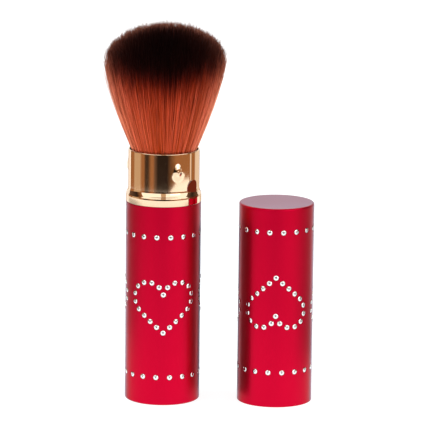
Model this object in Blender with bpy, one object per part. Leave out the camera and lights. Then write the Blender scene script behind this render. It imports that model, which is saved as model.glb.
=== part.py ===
"""Retractable powder brush with its cap taken off and stood beside it.

The barrel carries everything that stays still: a drawn aluminium shell with set stones, a plug
glued into its closed end, a ribbed stem on the plug, a crimped ferrule on the stem, the bristles
in the ferrule and a bushing in the shell's mouth. The collar slides up out of the barrel over
the bristles: a gold neck with a guide tube glued inside it and a friction ring on the tube. The
cap is the same drawn shell as the barrel, turned over.
"""

import math

import bmesh
import bpy
from mathutils import Matrix, Vector

MM = 0.001

# Driving dimensions
SHELL_RADIUS = 11.0 * MM  # outside of the barrel and of the cap
SHELL_HEIGHT = 59.2 * MM
SHELL_WALL = 0.45 * MM
COLLAR_HEIGHT = 15.2 * MM
COLLAR_WALL = 0.4 * MM
HEAD_RADIUS = 18.0 * MM  # bristle head at its widest
HEAD_RISE = 25.3 * MM  # from the collar's rim to the widest place
DOME_HEIGHT = 11.6 * MM  # from the widest place to the tips in the middle
CAP_PLACE = (33.1 * MM, -0.7 * MM)  # where the cap stands on the table

# Clearances
SEAT_GAP = 0.3 * MM  # between pieces that are glued, pressed or rest on each other
SLIDE_GAP = 0.25 * MM  # between the guide tube and the bushing it runs in
NECK_GAP = 0.15 * MM  # between the collar's neck and the cap that slides over it

# Turned shapes
TURN_STEPS = 40
INNER_STEPS = 32  # for the pieces that are hidden inside
ARC_STEPS = 4
CREASE = math.radians(30)
MERGE_DISTANCE = 0.001 * MM

# Radii from the outside inwards, each set by the piece around it
BORE_RADIUS = SHELL_RADIUS - SHELL_WALL
BUSHING_WALL = 0.5 * MM
BUSHING_OUTER = BORE_RADIUS - SEAT_GAP
BUSHING_INNER = BUSHING_OUTER - BUSHING_WALL
TUBE_WALL = 0.5 * MM
TUBE_OUTER = BUSHING_INNER - SLIDE_GAP
TUBE_INNER = TUBE_OUTER - TUBE_WALL
FERRULE_WALL = 0.4 * MM
FERRULE_OUTER = TUBE_INNER - SEAT_GAP
FERRULE_INNER = FERRULE_OUTER - FERRULE_WALL
ROOT_RADIUS = FERRULE_INNER - SEAT_GAP
NECK_RADIUS = BORE_RADIUS - NECK_GAP
NECK_INNER = NECK_RADIUS - COLLAR_WALL

# Heights that more than one piece shares
SHELL_FLOOR = 0.8 * MM
PLUG_BASE = SHELL_FLOOR + SEAT_GAP
PLUG_HEIGHT = 7.4 * MM
PLUG_TOP = PLUG_BASE + PLUG_HEIGHT
BUSHING_HEIGHT = 8.5 * MM
BUSHING_BASE = SHELL_HEIGHT - BUSHING_HEIGHT
COLLAR_BASE = SHELL_HEIGHT + SEAT_GAP
RIM = COLLAR_BASE + COLLAR_HEIGHT


def remove_old_objects():
    for obj in list(bpy.data.objects):
        bpy.data.objects.remove(obj, do_unlink=True)


def make_material(name, colour, roughness, metallic):
    material = bpy.data.materials.new(name)
    material.use_nodes = True
    shader = material.node_tree.nodes["Principled BSDF"]
    shader.inputs["Base Color"].default_value = (*colour, 1)
    shader.inputs["Roughness"].default_value = roughness
    shader.inputs["Metallic"].default_value = metallic
    return material


def make_object(name, bm, material=None, parent=None):
    """Turn a bmesh into a smooth-shaded object, under its joint's empty if it moves."""
    mesh = bpy.data.meshes.new(name)
    bmesh.ops.recalc_face_normals(bm, faces=bm.faces)
    bm.to_mesh(mesh)
    bm.free()
    mesh.shade_smooth()
    mesh.set_sharp_from_angle(angle=CREASE)
    obj = bpy.data.objects.new(name, mesh)
    bpy.context.scene.collection.objects.link(obj)
    if material:
        mesh.materials.append(material)
    if parent:
        obj.parent = parent
        obj.matrix_parent_inverse = Matrix.Translation(-parent.location)
    return obj


def make_axis(name, place):
    """An empty on a joint's axis, which the moving pieces hang from."""
    empty = bpy.data.objects.new(name, None)
    bpy.context.scene.collection.objects.link(empty)
    empty.location = place
    return empty


def arc(centre, radius, start, end, steps=ARC_STEPS):
    """Points of a circle's arc in a profile, from one angle to the other, both included."""
    angles = [start + (end - start) * i / steps for i in range(steps + 1)]
    return [(centre[0] + radius * math.cos(a), centre[1] + radius * math.sin(a)) for a in angles]


def turn(bm, profile, closed=True, steps=TURN_STEPS):
    """Spin a profile of (radius, height) points about the Z axis into the bmesh."""
    verts = [bm.verts.new((radius, 0, height)) for radius, height in profile]
    pairs = list(zip(verts, verts[1:]))
    if closed:
        pairs.append((verts[-1], verts[0]))
    edges = [bm.edges.new(pair) for pair in pairs]
    bmesh.ops.spin(
        bm,
        geom=verts + edges,
        cent=(0, 0, 0),
        axis=(0, 0, 1),
        angle=math.tau,
        steps=steps,
        use_merge=True,
    )
    bmesh.ops.remove_doubles(bm, verts=bm.verts, dist=MERGE_DISTANCE)


def tube_profile(inner, outer, base, top, chamfer):
    """A plain tube's profile, with its four edges chamfered."""
    return [
        (outer, base + chamfer),
        (outer, top - chamfer),
        (outer - chamfer, top),
        (inner + chamfer, top),
        (inner, top - chamfer),
        (inner, base + chamfer),
        (inner + chamfer, base),
        (outer - chamfer, base),
    ]


def join(target, tool, operation="UNION"):
    """Add or cut a guide object, which stays in the file as a wire."""
    tool.hide_render = True
    tool.display_type = "WIRE"
    boolean = target.modifiers.new(tool.name, "BOOLEAN")
    boolean.operation = operation
    boolean.solver = "EXACT"
    boolean.object = tool


# Stones: a heart three times round the shell, between two rings
STONE_RADIUS = 0.75 * MM
STONE_TABLE = 0.42 * MM  # radius of the flat top
STONE_RISE = 0.15 * MM
STONE_SEAT = 0.25 * MM  # how deep the back sits in the wall
STONE_SIDES = 6
RING_PITCH = 4.07 * MM
BASE_MARGIN = 8.4 * MM  # from the barrel's closed end to its first ring
MOUTH_MARGIN = 9.0 * MM  # from the second ring to the mouth
CAP_SHIFT = -1.4 * MM  # the cap's pattern sits nearer its closed end
HEART_COUNT = 3
HEART_GAP = 4.34 * MM  # between neighbouring hearts, round the wall
HEART_HALF = (math.tau * SHELL_RADIUS / HEART_COUNT - HEART_GAP) / 2
LOBE_SHARE = 0.508
RISE_SHARE = 1.095
HEART_LOBE = HEART_HALF * LOBE_SHARE  # radius of the two lobes
HEART_SPREAD = HEART_HALF - HEART_LOBE  # from the heart's middle to a lobe's centre
HEART_RISE = HEART_HALF * RISE_SHARE  # from the tip to the lobes' centres
HEART_STEPS = 11  # stone spacings from the tip to the notch
BARREL_TURN = math.radians(1.6)
CAP_TURN = math.radians(0.2)
FACE_OUT = Matrix.Rotation(math.pi / 2, 4, "X")  # from upright to facing the front


def heart_points():
    """Stones of one heart as (along the wall, above the tip): a straight side, then a lobe."""
    reach = math.hypot(HEART_SPREAD, HEART_RISE)
    side = math.sqrt(reach**2 - HEART_LOBE**2)
    lean = math.atan2(HEART_SPREAD, HEART_RISE) + math.asin(HEART_LOBE / reach)
    notch = math.acos(-HEART_SPREAD / HEART_LOBE)
    length = side + HEART_LOBE * (notch + lean)
    points = []
    for i in range(HEART_STEPS + 1):
        along = length * i / HEART_STEPS
        if along < side:
            across, up = along * math.sin(lean), along * math.cos(lean)
        else:
            angle = (along - side) / HEART_LOBE - lean
            across = HEART_SPREAD + HEART_LOBE * math.cos(angle)
            up = HEART_RISE + HEART_LOBE * math.sin(angle)
        points.append((across, up))
        if 0 < i < HEART_STEPS:
            points.append((-across, up))
    return points


def stone_places(shift):
    """Every stone on a shell, as (angle from the front, height above the closed end)."""
    low = BASE_MARGIN + shift
    high = SHELL_HEIGHT - MOUTH_MARGIN + shift
    count = round(math.tau * SHELL_RADIUS / RING_PITCH)
    places = []
    for i in range(count):
        angle = math.tau * (i + 0.5) / count
        places += [(angle, low), (angle, high)]
    tip = (low + high - HEART_RISE - HEART_LOBE) / 2
    for i in range(HEART_COUNT):
        middle = math.tau * i / HEART_COUNT
        places += [(middle + across / SHELL_RADIUS, tip + up) for across, up in heart_points()]
    return places


def make_stones(name, turn_angle, shift):
    bm = bmesh.new()
    middle = SHELL_RADIUS + (STONE_RISE - STONE_SEAT) / 2
    for angle, height in stone_places(shift):
        around = Matrix.Translation((0, 0, height)) @ Matrix.Rotation(angle + turn_angle, 4, "Z")
        bmesh.ops.create_cone(
            bm,
            cap_ends=True,
            segments=STONE_SIDES,
            radius1=STONE_RADIUS,
            radius2=STONE_TABLE,
            depth=STONE_RISE + STONE_SEAT,
            matrix=around @ FACE_OUT @ Matrix.Translation((0, 0, middle)),
        )
    return make_object(name, bm)


# Drawn shell: closed end down, its edge rounded by the drawing die
SHELL_EDGE = 0.5 * MM
MOUTH_CHAMFER = 0.12 * MM


def make_shell(name, turn_angle, shift, material):
    bm = bmesh.new()
    edge_centre = (SHELL_RADIUS - SHELL_EDGE, SHELL_EDGE)
    profile = [(0, 0)]
    profile += arc(edge_centre, SHELL_EDGE, -math.pi / 2, 0, steps=3)
    profile += [
        (SHELL_RADIUS, SHELL_HEIGHT - MOUTH_CHAMFER),
        (SHELL_RADIUS - MOUTH_CHAMFER, SHELL_HEIGHT),
        (BORE_RADIUS, SHELL_HEIGHT),
        (BORE_RADIUS, SHELL_FLOOR + SHELL_EDGE - SHELL_WALL),
        (BORE_RADIUS - SHELL_EDGE + SHELL_WALL, SHELL_FLOOR),
        (0, SHELL_FLOOR),
    ]
    turn(bm, profile, closed=False)
    shell = make_object(name, bm, material)
    stones = make_stones(name + "_stones", turn_angle, shift)
    stones.parent = shell
    join(shell, stones)
    return shell


# Base plug: a moulded cup glued into the closed end, with a ribbed boss for the stem
PLUG_DISC = 2.0 * MM
PLUG_SKIRT = 1.0 * MM
PLUG_CHAMFER = 0.4 * MM
BOSS_RADIUS = 5.6 * MM
BOSS_RISE = 3.6 * MM  # above the plug's skirt
SOCKET_RADIUS = 3.5 * MM
SOCKET_FLOOR = PLUG_BASE + PLUG_DISC
BOSS_TOP = PLUG_TOP + BOSS_RISE
PLUG_RIBS = 6
PLUG_RIB_WIDTH = 1.0 * MM
PLUG_RIB_DROP = 1.6 * MM  # rib tops below the skirt


def make_ribs(name, count, width, inner, outer, base, top):
    """Flat ribs round the Z axis, each a box from one radius to another."""
    bm = bmesh.new()
    size = Matrix.Diagonal((outer - inner, width, top - base, 1))
    place = Matrix.Translation(((outer + inner) / 2, 0, (top + base) / 2))
    for i in range(count):
        around = Matrix.Rotation(math.tau * (i + 0.5) / count, 4, "Z")
        bmesh.ops.create_cube(bm, size=1, matrix=around @ place @ size)
    return make_object(name, bm)


def make_base_plug(material):
    bm = bmesh.new()
    skirt = BUSHING_OUTER - PLUG_SKIRT
    profile = [
        (0, PLUG_BASE),
        (BUSHING_OUTER - PLUG_CHAMFER, PLUG_BASE),
        (BUSHING_OUTER, PLUG_BASE + PLUG_CHAMFER),
        (BUSHING_OUTER, PLUG_TOP),
        (skirt, PLUG_TOP),
        (skirt, SOCKET_FLOOR),
        (BOSS_RADIUS, SOCKET_FLOOR),
        (BOSS_RADIUS, BOSS_TOP),
        (SOCKET_RADIUS, BOSS_TOP),
        (SOCKET_RADIUS, SOCKET_FLOOR),
        (0, SOCKET_FLOOR),
    ]
    turn(bm, profile, closed=False, steps=INNER_STEPS)
    plug = make_object("base_plug", bm, material)
    rib_inner = (BOSS_RADIUS + SOCKET_RADIUS) / 2
    rib_outer = skirt + PLUG_SKIRT / 2
    rib_base = PLUG_BASE + PLUG_DISC / 2
    rib_top = PLUG_TOP - PLUG_RIB_DROP
    ribs = make_ribs("plug_ribs", PLUG_RIBS, PLUG_RIB_WIDTH, rib_inner, rib_outer, rib_base, rib_top)
    join(plug, ribs)


# Ferrule and stem head: the tube is crimped into a groove round the head
FERRULE_HEIGHT = 20.0 * MM
FERRULE_DROP = 4.7 * MM  # from the collar's rim down to the ferrule
FERRULE_CHAMFER = 0.1 * MM
FERRULE_TOP = RIM - FERRULE_DROP
FERRULE_BASE = FERRULE_TOP - FERRULE_HEIGHT
HEAD_HEIGHT = 7.3 * MM  # how far the stem's head reaches into the ferrule
HEAD_BASE = FERRULE_BASE - SEAT_GAP
HEAD_TOP = HEAD_BASE + HEAD_HEIGHT
CRIMP_DEPTH = 0.3 * MM
CRIMP_WIDTH = 1.4 * MM
CRIMP_HEIGHT = (FERRULE_BASE + HEAD_TOP) / 2


def crimped(radius):
    """Points of a crimp going up a wall of this radius."""
    half = CRIMP_WIDTH / 2
    return [
        (radius, CRIMP_HEIGHT - half),
        (radius - CRIMP_DEPTH, CRIMP_HEIGHT - half / 2),
        (radius - CRIMP_DEPTH, CRIMP_HEIGHT + half / 2),
        (radius, CRIMP_HEIGHT + half),
    ]


def make_ferrule(material):
    bm = bmesh.new()
    profile = [(FERRULE_OUTER, FERRULE_BASE)]
    profile += crimped(FERRULE_OUTER)
    profile += [
        (FERRULE_OUTER, FERRULE_TOP - FERRULE_CHAMFER),
        (FERRULE_OUTER - FERRULE_CHAMFER, FERRULE_TOP),
        (FERRULE_INNER, FERRULE_TOP),
    ]
    profile += reversed(crimped(FERRULE_INNER))
    profile.append((FERRULE_INNER, FERRULE_BASE))
    turn(bm, profile, steps=INNER_STEPS)
    make_object("ferrule", bm, material)


STEM_FLANGE = 1.5 * MM
STEM_CORE = 2.6 * MM
STEM_RIBS = 4
STEM_RIB_WIDTH = 1.2 * MM
STEM_RIB_RADIUS = 6.0 * MM
SPIGOT_RADIUS = SOCKET_RADIUS - SEAT_GAP


def make_stem(material):
    bm = bmesh.new()
    flange_base = HEAD_BASE - STEM_FLANGE
    shoulder = BOSS_TOP + SEAT_GAP
    profile = [
        (0, SOCKET_FLOOR + SEAT_GAP),
        (SPIGOT_RADIUS, SOCKET_FLOOR + SEAT_GAP),
        (SPIGOT_RADIUS, shoulder),
        (STEM_CORE, shoulder),
        (STEM_CORE, flange_base),
        (FERRULE_OUTER, flange_base),
        (FERRULE_OUTER, HEAD_BASE),
        (ROOT_RADIUS, HEAD_BASE),
    ]
    profile += crimped(ROOT_RADIUS)
    profile += [(ROOT_RADIUS, HEAD_TOP), (0, HEAD_TOP)]
    turn(bm, profile, closed=False, steps=INNER_STEPS)
    stem = make_object("stem", bm, material)
    rib_inner = STEM_CORE / 2
    rib_top = flange_base + STEM_FLANGE / 2
    ribs = make_ribs(
        "stem_ribs", STEM_RIBS, STEM_RIB_WIDTH, rib_inner, STEM_RIB_RADIUS, shoulder, rib_top
    )
    join(stem, ribs)


# Bristles: a triangle of the glued root for each strand, drawn out to the domed head
BRISTLE_CUTS = 7  # cuts on each side of the hexagon's six triangles
STRAND_MARGIN = 0.5 * MM  # from the outermost strands' middle to the collar, besides the gap
RIM_SPREAD = NECK_INNER - SEAT_GAP - STRAND_MARGIN
STRAND_SHARE = 0.75  # of its cell that a strand fills where it leaves the collar
TIP_SHARE = 0.5
ROOT_BASE = HEAD_TOP + SEAT_GAP
ROOT_TOP = FERRULE_TOP + SEAT_GAP
WIDEST = RIM + HEAD_RISE
HALVINGS = 30


def head_radius(height):
    """How far the outermost strand has spread at a height above the rim."""
    return RIM_SPREAD + (HEAD_RADIUS - RIM_SPREAD) * (height - RIM) / HEAD_RISE


def tip_height(share):
    """Where a strand at this share of the radius meets the dome, an ellipse over the head."""
    low, high = WIDEST, WIDEST + DOME_HEIGHT
    for _ in range(HALVINGS):
        middle = (low + high) / 2
        rise = (middle - WIDEST) / DOME_HEIGHT
        if share * head_radius(middle) < HEAD_RADIUS * math.sqrt(1 - rise**2):
            low = middle
        else:
            high = middle
    return low


def round_off_hexagon(bm):
    """Push a hexagon's vertices outwards so that its edge is a circle of the root's radius."""
    apothem = ROOT_RADIUS * math.cos(math.pi / 6)
    for vert in bm.verts:
        distance = vert.co.length
        if distance:
            angle = math.atan2(vert.co.x, vert.co.y) % (math.pi / 3) - math.pi / 6
            share = distance * math.cos(angle) / apothem
            vert.co *= ROOT_RADIUS * share / distance


def draw_out(bm, faces, spread, radius, height_of, share):
    """Extrude each strand on its own to a new radius and height, narrowed to a share."""
    made = bmesh.ops.extrude_discrete_faces(bm, faces=faces)["faces"]
    for face in made:
        centre = face.calc_center_median()
        flat = Vector((centre.x, centre.y, 0))
        height = height_of(flat.length / spread)
        reach = radius(height) / spread
        for vert in face.verts:
            place = flat * reach + (vert.co - centre) * reach * share
            vert.co = Vector((place.x, place.y, height))
    return made


def make_bristles(material):
    bm = bmesh.new()
    bmesh.ops.create_circle(bm, cap_ends=True, cap_tris=True, segments=6, radius=ROOT_RADIUS)
    bmesh.ops.subdivide_edges(bm, edges=bm.edges, cuts=BRISTLE_CUTS, use_grid_fill=True)
    round_off_hexagon(bm)
    bmesh.ops.translate(bm, verts=bm.verts, vec=(0, 0, ROOT_TOP))
    strands = list(bm.faces)

    # the glued root below the strands
    backing = bmesh.ops.extrude_face_region(bm, geom=strands, use_keep_orig=True)["geom"]
    lowered = [item for item in backing if isinstance(item, bmesh.types.BMVert)]
    bmesh.ops.translate(bm, verts=lowered, vec=(0, 0, ROOT_BASE - ROOT_TOP))
    underside = [item for item in backing if isinstance(item, bmesh.types.BMFace)]
    bmesh.ops.dissolve_faces(bm, faces=underside)

    centres = [face.calc_center_median() for face in strands]
    spread = max(math.hypot(centre.x, centre.y) for centre in centres)
    strands = draw_out(bm, strands, spread, lambda height: RIM_SPREAD, lambda share: RIM, STRAND_SHARE)
    draw_out(bm, strands, RIM_SPREAD, head_radius, tip_height, TIP_SHARE / STRAND_SHARE)
    make_object("bristles", bm, material)


# Mouth bushing: keeps the guide tube central and stops its ring at the top of the travel
BUSHING_CHAMFER = 0.15 * MM


def make_mouth_bushing(material):
    bm = bmesh.new()
    walls = tube_profile(BUSHING_INNER, BUSHING_OUTER, BUSHING_BASE, SHELL_HEIGHT, BUSHING_CHAMFER)
    turn(bm, walls, steps=INNER_STEPS)
    make_object("mouth_bushing", bm, material)


# Collar: a drawn neck that flares in a cove to the barrel's width, with three pressed bumps
SKIRT_HEIGHT = 2.2 * MM
COVE_HEIGHT = 1.8 * MM
BUMP_COUNT = 3
BUMP_TURN = math.radians(24)
BUMP_RADIUS = 1.4 * MM  # across the wall
BUMP_RISE = 0.5 * MM
BUMP_DROP = 5.3 * MM  # from the rim to the bumps' middle
BUMP_STEPS = 12
COVE_BASE = COLLAR_BASE + SKIRT_HEIGHT
COVE_TOP = COVE_BASE + COVE_HEIGHT
SKIRT_INNER = SHELL_RADIUS - COLLAR_WALL


def cove_points():
    """The hollow curve from the skirt up to the neck, which it meets without a corner."""
    flare = SHELL_RADIUS - NECK_RADIUS
    radius = (flare**2 + COVE_HEIGHT**2) / (2 * flare)
    start = math.pi + math.asin(COVE_HEIGHT / radius)
    return arc((NECK_RADIUS + radius, COVE_TOP), radius, start, math.pi)


def make_bumps(name, sphere_radius, centre, base):
    """Caps of a sphere round the neck, each with its flat side at the base radius."""
    bm = bmesh.new()
    start = math.asin((base - centre) / sphere_radius)
    dome = arc((0, centre - base), sphere_radius, start, math.pi / 2, steps=3)
    turn(bm, [(0, 0), *dome], closed=False, steps=BUMP_STEPS)
    around = Matrix.Translation((0, 0, RIM - BUMP_DROP)) @ Matrix.Rotation(BUMP_TURN, 4, "Z")
    place = around @ FACE_OUT @ Matrix.Translation((0, 0, base))
    bmesh.ops.transform(bm, verts=bm.verts, matrix=place)
    bmesh.ops.spin(
        bm,
        geom=[*bm.verts, *bm.edges, *bm.faces],
        cent=(0, 0, 0),
        axis=(0, 0, 1),
        angle=math.tau * (BUMP_COUNT - 1) / BUMP_COUNT,
        steps=BUMP_COUNT - 1,
        use_duplicate=True,
    )
    return make_object(name, bm)


def make_collar_shell(material, parent):
    bm = bmesh.new()
    profile = [(SHELL_RADIUS, COLLAR_BASE)]
    profile += cove_points()
    round_over = COLLAR_WALL / 2
    profile += arc((NECK_RADIUS - round_over, RIM - round_over), round_over, 0, math.pi)
    profile += [
        (NECK_INNER, COVE_TOP - COLLAR_WALL / 2),
        (SKIRT_INNER, COVE_BASE - COLLAR_WALL / 2),
        (SKIRT_INNER, COLLAR_BASE),
    ]
    turn(bm, profile)
    collar = make_object("collar_shell", bm, material, parent)
    crest = NECK_RADIUS + BUMP_RISE
    sphere_radius = (BUMP_RADIUS**2 + BUMP_RISE**2) / (2 * BUMP_RISE)
    centre = crest - sphere_radius
    mid_wall = NECK_RADIUS - COLLAR_WALL / 2
    join(collar, make_bumps("bumps_outside", sphere_radius, centre, mid_wall))
    hollow = sphere_radius - COLLAR_WALL
    join(collar, make_bumps("bumps_inside", hollow, centre, NECK_INNER - COLLAR_WALL), "DIFFERENCE")


# Guide tube: flanged under the collar's skirt, glued into its neck, and lipped at the bottom
TUBE_CLEARANCE = 0.9 * MM  # above the base plug when the collar is down
LIP_HEIGHT = 0.9 * MM
FLANGE_HEIGHT = 1.6 * MM
HEAD_REACH = 6.5 * MM  # how far the tube stands in the collar
TUBE_BASE = PLUG_TOP + TUBE_CLEARANCE
LIP_TOP = TUBE_BASE + LIP_HEIGHT
LIP_RADIUS = BORE_RADIUS - SEAT_GAP


def make_guide_tube(material, parent):
    bm = bmesh.new()
    head = NECK_INNER - SEAT_GAP
    flange = SKIRT_INNER - SEAT_GAP
    flange_top = COLLAR_BASE + FLANGE_HEIGHT
    top = COLLAR_BASE + HEAD_REACH
    profile = [
        (LIP_RADIUS, TUBE_BASE),
        (LIP_RADIUS, LIP_TOP),
        (TUBE_OUTER, LIP_TOP),
        (TUBE_OUTER, COLLAR_BASE),
        (flange, COLLAR_BASE),
        (flange, flange_top),
        (head, flange_top),
        (head, top),
        (TUBE_INNER, top),
        (TUBE_INNER, TUBE_BASE),
    ]
    turn(bm, profile, steps=INNER_STEPS)
    make_object("guide_tube", bm, material, parent)


# Friction ring: a split band above the lip that rubs the bore and holds the collar where it is
RING_HEIGHT = 1.8 * MM
RING_CHAMFER = 0.12 * MM
RING_SPLIT = 1.5 * MM
RING_BASE = LIP_TOP + SEAT_GAP


def make_friction_ring(material, parent):
    bm = bmesh.new()
    inner = TUBE_OUTER + SEAT_GAP
    walls = tube_profile(inner, LIP_RADIUS, RING_BASE, RING_BASE + RING_HEIGHT, RING_CHAMFER)
    turn(bm, walls, steps=INNER_STEPS)
    ring = make_object("friction_ring", bm, material, parent)
    bm = bmesh.new()
    length = LIP_RADIUS - inner + 2 * SEAT_GAP
    size = Matrix.Diagonal((RING_SPLIT, length, RING_HEIGHT + 2 * SEAT_GAP, 1))
    place = Matrix.Translation((0, (LIP_RADIUS + inner) / 2, RING_BASE + RING_HEIGHT / 2))
    bmesh.ops.create_cube(bm, size=1, matrix=place @ size)
    join(ring, make_object("ring_split", bm), "DIFFERENCE")


remove_old_objects()
red_metal = make_material("red_aluminium", (0.42, 0.004, 0.02), 0.35, 1)
gold_metal = make_material("gold_aluminium", (0.83, 0.57, 0.33), 0.12, 1)
plain_metal = make_material("plain_aluminium", (0.74, 0.75, 0.76), 0.35, 1)
black_plastic = make_material("black_plastic", (0.02, 0.02, 0.02), 0.45, 0)
slick_plastic = make_material("slick_plastic", (0.62, 0.6, 0.56), 0.4, 0)
soft_rubber = make_material("soft_rubber", (0.03, 0.03, 0.03), 0.7, 0)
dyed_hair = make_material("dyed_bristle", (0.3, 0.05, 0.03), 0.5, 0)

make_shell("barrel_shell", BARREL_TURN, 0, red_metal)
make_base_plug(black_plastic)
make_stem(black_plastic)
make_ferrule(plain_metal)
make_bristles(dyed_hair)
make_mouth_bushing(slick_plastic)

collar_axis = make_axis("collar_axis", (0, 0, COLLAR_BASE))
collar_axis["travel"] = BUSHING_BASE - SEAT_GAP - RING_BASE - RING_HEIGHT
make_collar_shell(gold_metal, collar_axis)
make_guide_tube(black_plastic, collar_axis)
make_friction_ring(soft_rubber, collar_axis)

cap_axis = make_axis("cap_axis", (*CAP_PLACE, 0))
cap = make_shell("cap_shell", CAP_TURN, CAP_SHIFT, red_metal)
cap.parent = cap_axis
cap.location = (0, 0, SHELL_HEIGHT)
cap.rotation_euler = (0, math.pi, 0)
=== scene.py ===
import random
from math import acos, asin, atan2, cos, degrees, hypot, pi, radians, sin, sqrt, tau

import bmesh
import bpy
from mathutils import Matrix, Vector, noise


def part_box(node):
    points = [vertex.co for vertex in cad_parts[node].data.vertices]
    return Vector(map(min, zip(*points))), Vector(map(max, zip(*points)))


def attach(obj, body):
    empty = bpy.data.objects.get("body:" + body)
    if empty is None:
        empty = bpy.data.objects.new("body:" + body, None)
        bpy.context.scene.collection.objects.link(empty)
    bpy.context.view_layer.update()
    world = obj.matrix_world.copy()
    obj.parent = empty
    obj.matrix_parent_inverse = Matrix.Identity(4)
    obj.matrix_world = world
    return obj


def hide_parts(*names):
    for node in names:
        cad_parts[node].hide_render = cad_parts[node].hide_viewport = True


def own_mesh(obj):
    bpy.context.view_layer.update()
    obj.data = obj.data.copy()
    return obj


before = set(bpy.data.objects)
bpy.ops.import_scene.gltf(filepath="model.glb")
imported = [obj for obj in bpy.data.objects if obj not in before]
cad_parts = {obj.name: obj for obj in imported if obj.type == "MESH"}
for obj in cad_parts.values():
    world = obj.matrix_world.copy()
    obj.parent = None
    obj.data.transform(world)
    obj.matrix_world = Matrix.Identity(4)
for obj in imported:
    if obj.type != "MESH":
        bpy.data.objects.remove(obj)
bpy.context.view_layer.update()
scene = bpy.context.scene
scene.view_settings.view_transform = "Standard"
mm = 0.001

# Camera: a long lens that looks a little down on the object and is rolled very slightly, as the
# photograph was taken.
camera = bpy.data.objects.new("camera", bpy.data.cameras.new("camera"))
scene.collection.objects.link(camera)
camera.data.sensor_width = 36
camera.data.lens = 338.12
camera.data.clip_start, camera.data.clip_end = 0.1, 20
looks_down, roll, distance = 11.878, 0.658, 1187.58 * mm
aim = Matrix.Translation((15.37 * mm, 0, 54.6 * mm))
turn = Matrix.Rotation(radians(90 - looks_down), 4, "X") @ Matrix.Rotation(radians(roll), 4, "Z")
camera.matrix_world = aim @ turn @ Matrix.Translation((0, 0, distance))
scene.camera = camera


# Base plug and stem: black ABS mouldings, glued into the barrel's closed end. The stem stands in
# the plug's socket and carries the ferrule. Both are hidden once the brush is assembled.
def linear(colour):
    """An sRGB hex colour as the linear colour that a socket takes."""
    parts = [int(colour[i : i + 2], 16) / 255 for i in (1, 3, 5)]
    return [p / 12.92 if p < 0.04045 else ((p + 0.055) / 1.055) ** 2.4 for p in parts] + [1]


def new_material(name):
    """A new node material, with its node tree and its shader."""
    material = bpy.data.materials.new(name)
    material.use_nodes = True
    tree = material.node_tree
    return material, tree, tree.nodes["Principled BSDF"]


def output_of(source):
    """A socket as it is, or else a node's first output."""
    return source if isinstance(source, bpy.types.NodeSocket) else source.outputs[0]


def feed(node, values=None, links=None):
    """Sets a node's inputs to values, or links them to sockets or to nodes' first outputs."""
    for name, value in (values or {}).items():
        node.inputs[name].default_value = value
    for name, source in (links or {}).items():
        node.id_data.links.new(output_of(source), node.inputs[name])
    return node


def add(tree, kind, values=None, links=None, **settings):
    """Adds a node, gives it its settings, and feeds its inputs."""
    added = tree.nodes.new("ShaderNode" + kind)
    for name, value in settings.items():
        setattr(added, name, value)
    return feed(added, values, links)


def blend_colours(tree, factor, first, second):
    """Mixes two colours, each a hex colour or what another node gives, by a factor."""
    mix = add(tree, "Mix", links={"Factor": factor}, data_type="RGBA")
    for name, colour in (("A", first), ("B", second)):
        socket = [s for s in mix.inputs if s.name == name and s.type == "RGBA"][0]
        if isinstance(colour, str):
            socket.default_value = linear(colour)
        else:
            tree.links.new(output_of(colour), socket)
    return [s for s in mix.outputs if s.type == "RGBA"][0]


def dress(name, material):
    """Gives its material to a CAD node that is shown as it is."""
    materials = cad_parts[name].data.materials
    materials.clear()
    materials.append(material)


# Moulded ABS: a spark-eroded mould leaves a fine even grain of about 0.1 mm and a dull gloss
black_abs, tree, shader = new_material("moulded_black_abs")
coords = add(tree, "TexCoord").outputs["Object"]
grain = add(tree, "TexNoise", {"Scale": 1 / (0.25 * mm), "Detail": 3}, {"Vector": coords})
flow = add(tree, "TexNoise", {"Scale": 1 / (9 * mm), "Detail": 2}, {"Vector": coords})
colour = blend_colours(tree, flow, "#121213", "#1D1C1E")
rough = add(tree, "MapRange", {"To Min": 0.38, "To Max": 0.55}, {"Value": flow})
bump = add(tree, "Bump", {"Strength": 0.25, "Distance": 0.02 * mm}, {"Height": grain})
feed(shader, links={"Base Color": colour, "Roughness": rough, "Normal": bump})
dress("base_plug", black_abs)
dress("stem", black_abs)


# Ferrule: a plain aluminium tube, crimped on the stem's head round the glued bristle root. Drawn
# tube keeps fine lines along its length, which stretch its highlights into soft streaks.
bare_aluminium, tree, shader = new_material("drawn_bare_aluminium")
coords = add(tree, "TexCoord").outputs["Object"]
along = add(tree, "Mapping", {"Scale": (1, 1, 0.03)}, {"Vector": coords})
lines = add(tree, "TexNoise", {"Scale": 1 / (0.2 * mm), "Detail": 4}, {"Vector": along})
rough = add(tree, "MapRange", {"To Min": 0.22, "To Max": 0.42}, {"Value": lines})
bump = add(tree, "Bump", {"Strength": 0.3, "Distance": 0.01 * mm}, {"Height": lines})
feed(shader, {"Metallic": 1, "Base Color": linear("#C9CACC")}, {"Roughness": rough, "Normal": bump})
dress("ferrule", bare_aluminium)


# Bristles: about 17,000 tapered nylon fibres, glued at the root, fanned out and trimmed to a dome.
# They are dip-dyed: copper red, with tips that are nearly black. Each sector is a piece of its own.
def finished_mesh(name, form, material):
    """The mesh of a finished form, with its material."""
    mesh = bpy.data.meshes.new(name)
    form.to_mesh(mesh)
    form.free()
    mesh.materials.append(material)
    return mesh


def add_piece(name, form, material, body, node):
    """Makes a finished form a piece that rides on its body and stands for its CAD node."""
    piece = bpy.data.objects.new(name, finished_mesh(name, form, material))
    scene.collection.objects.link(piece)
    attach(piece, body)
    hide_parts(node)
    return piece


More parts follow.
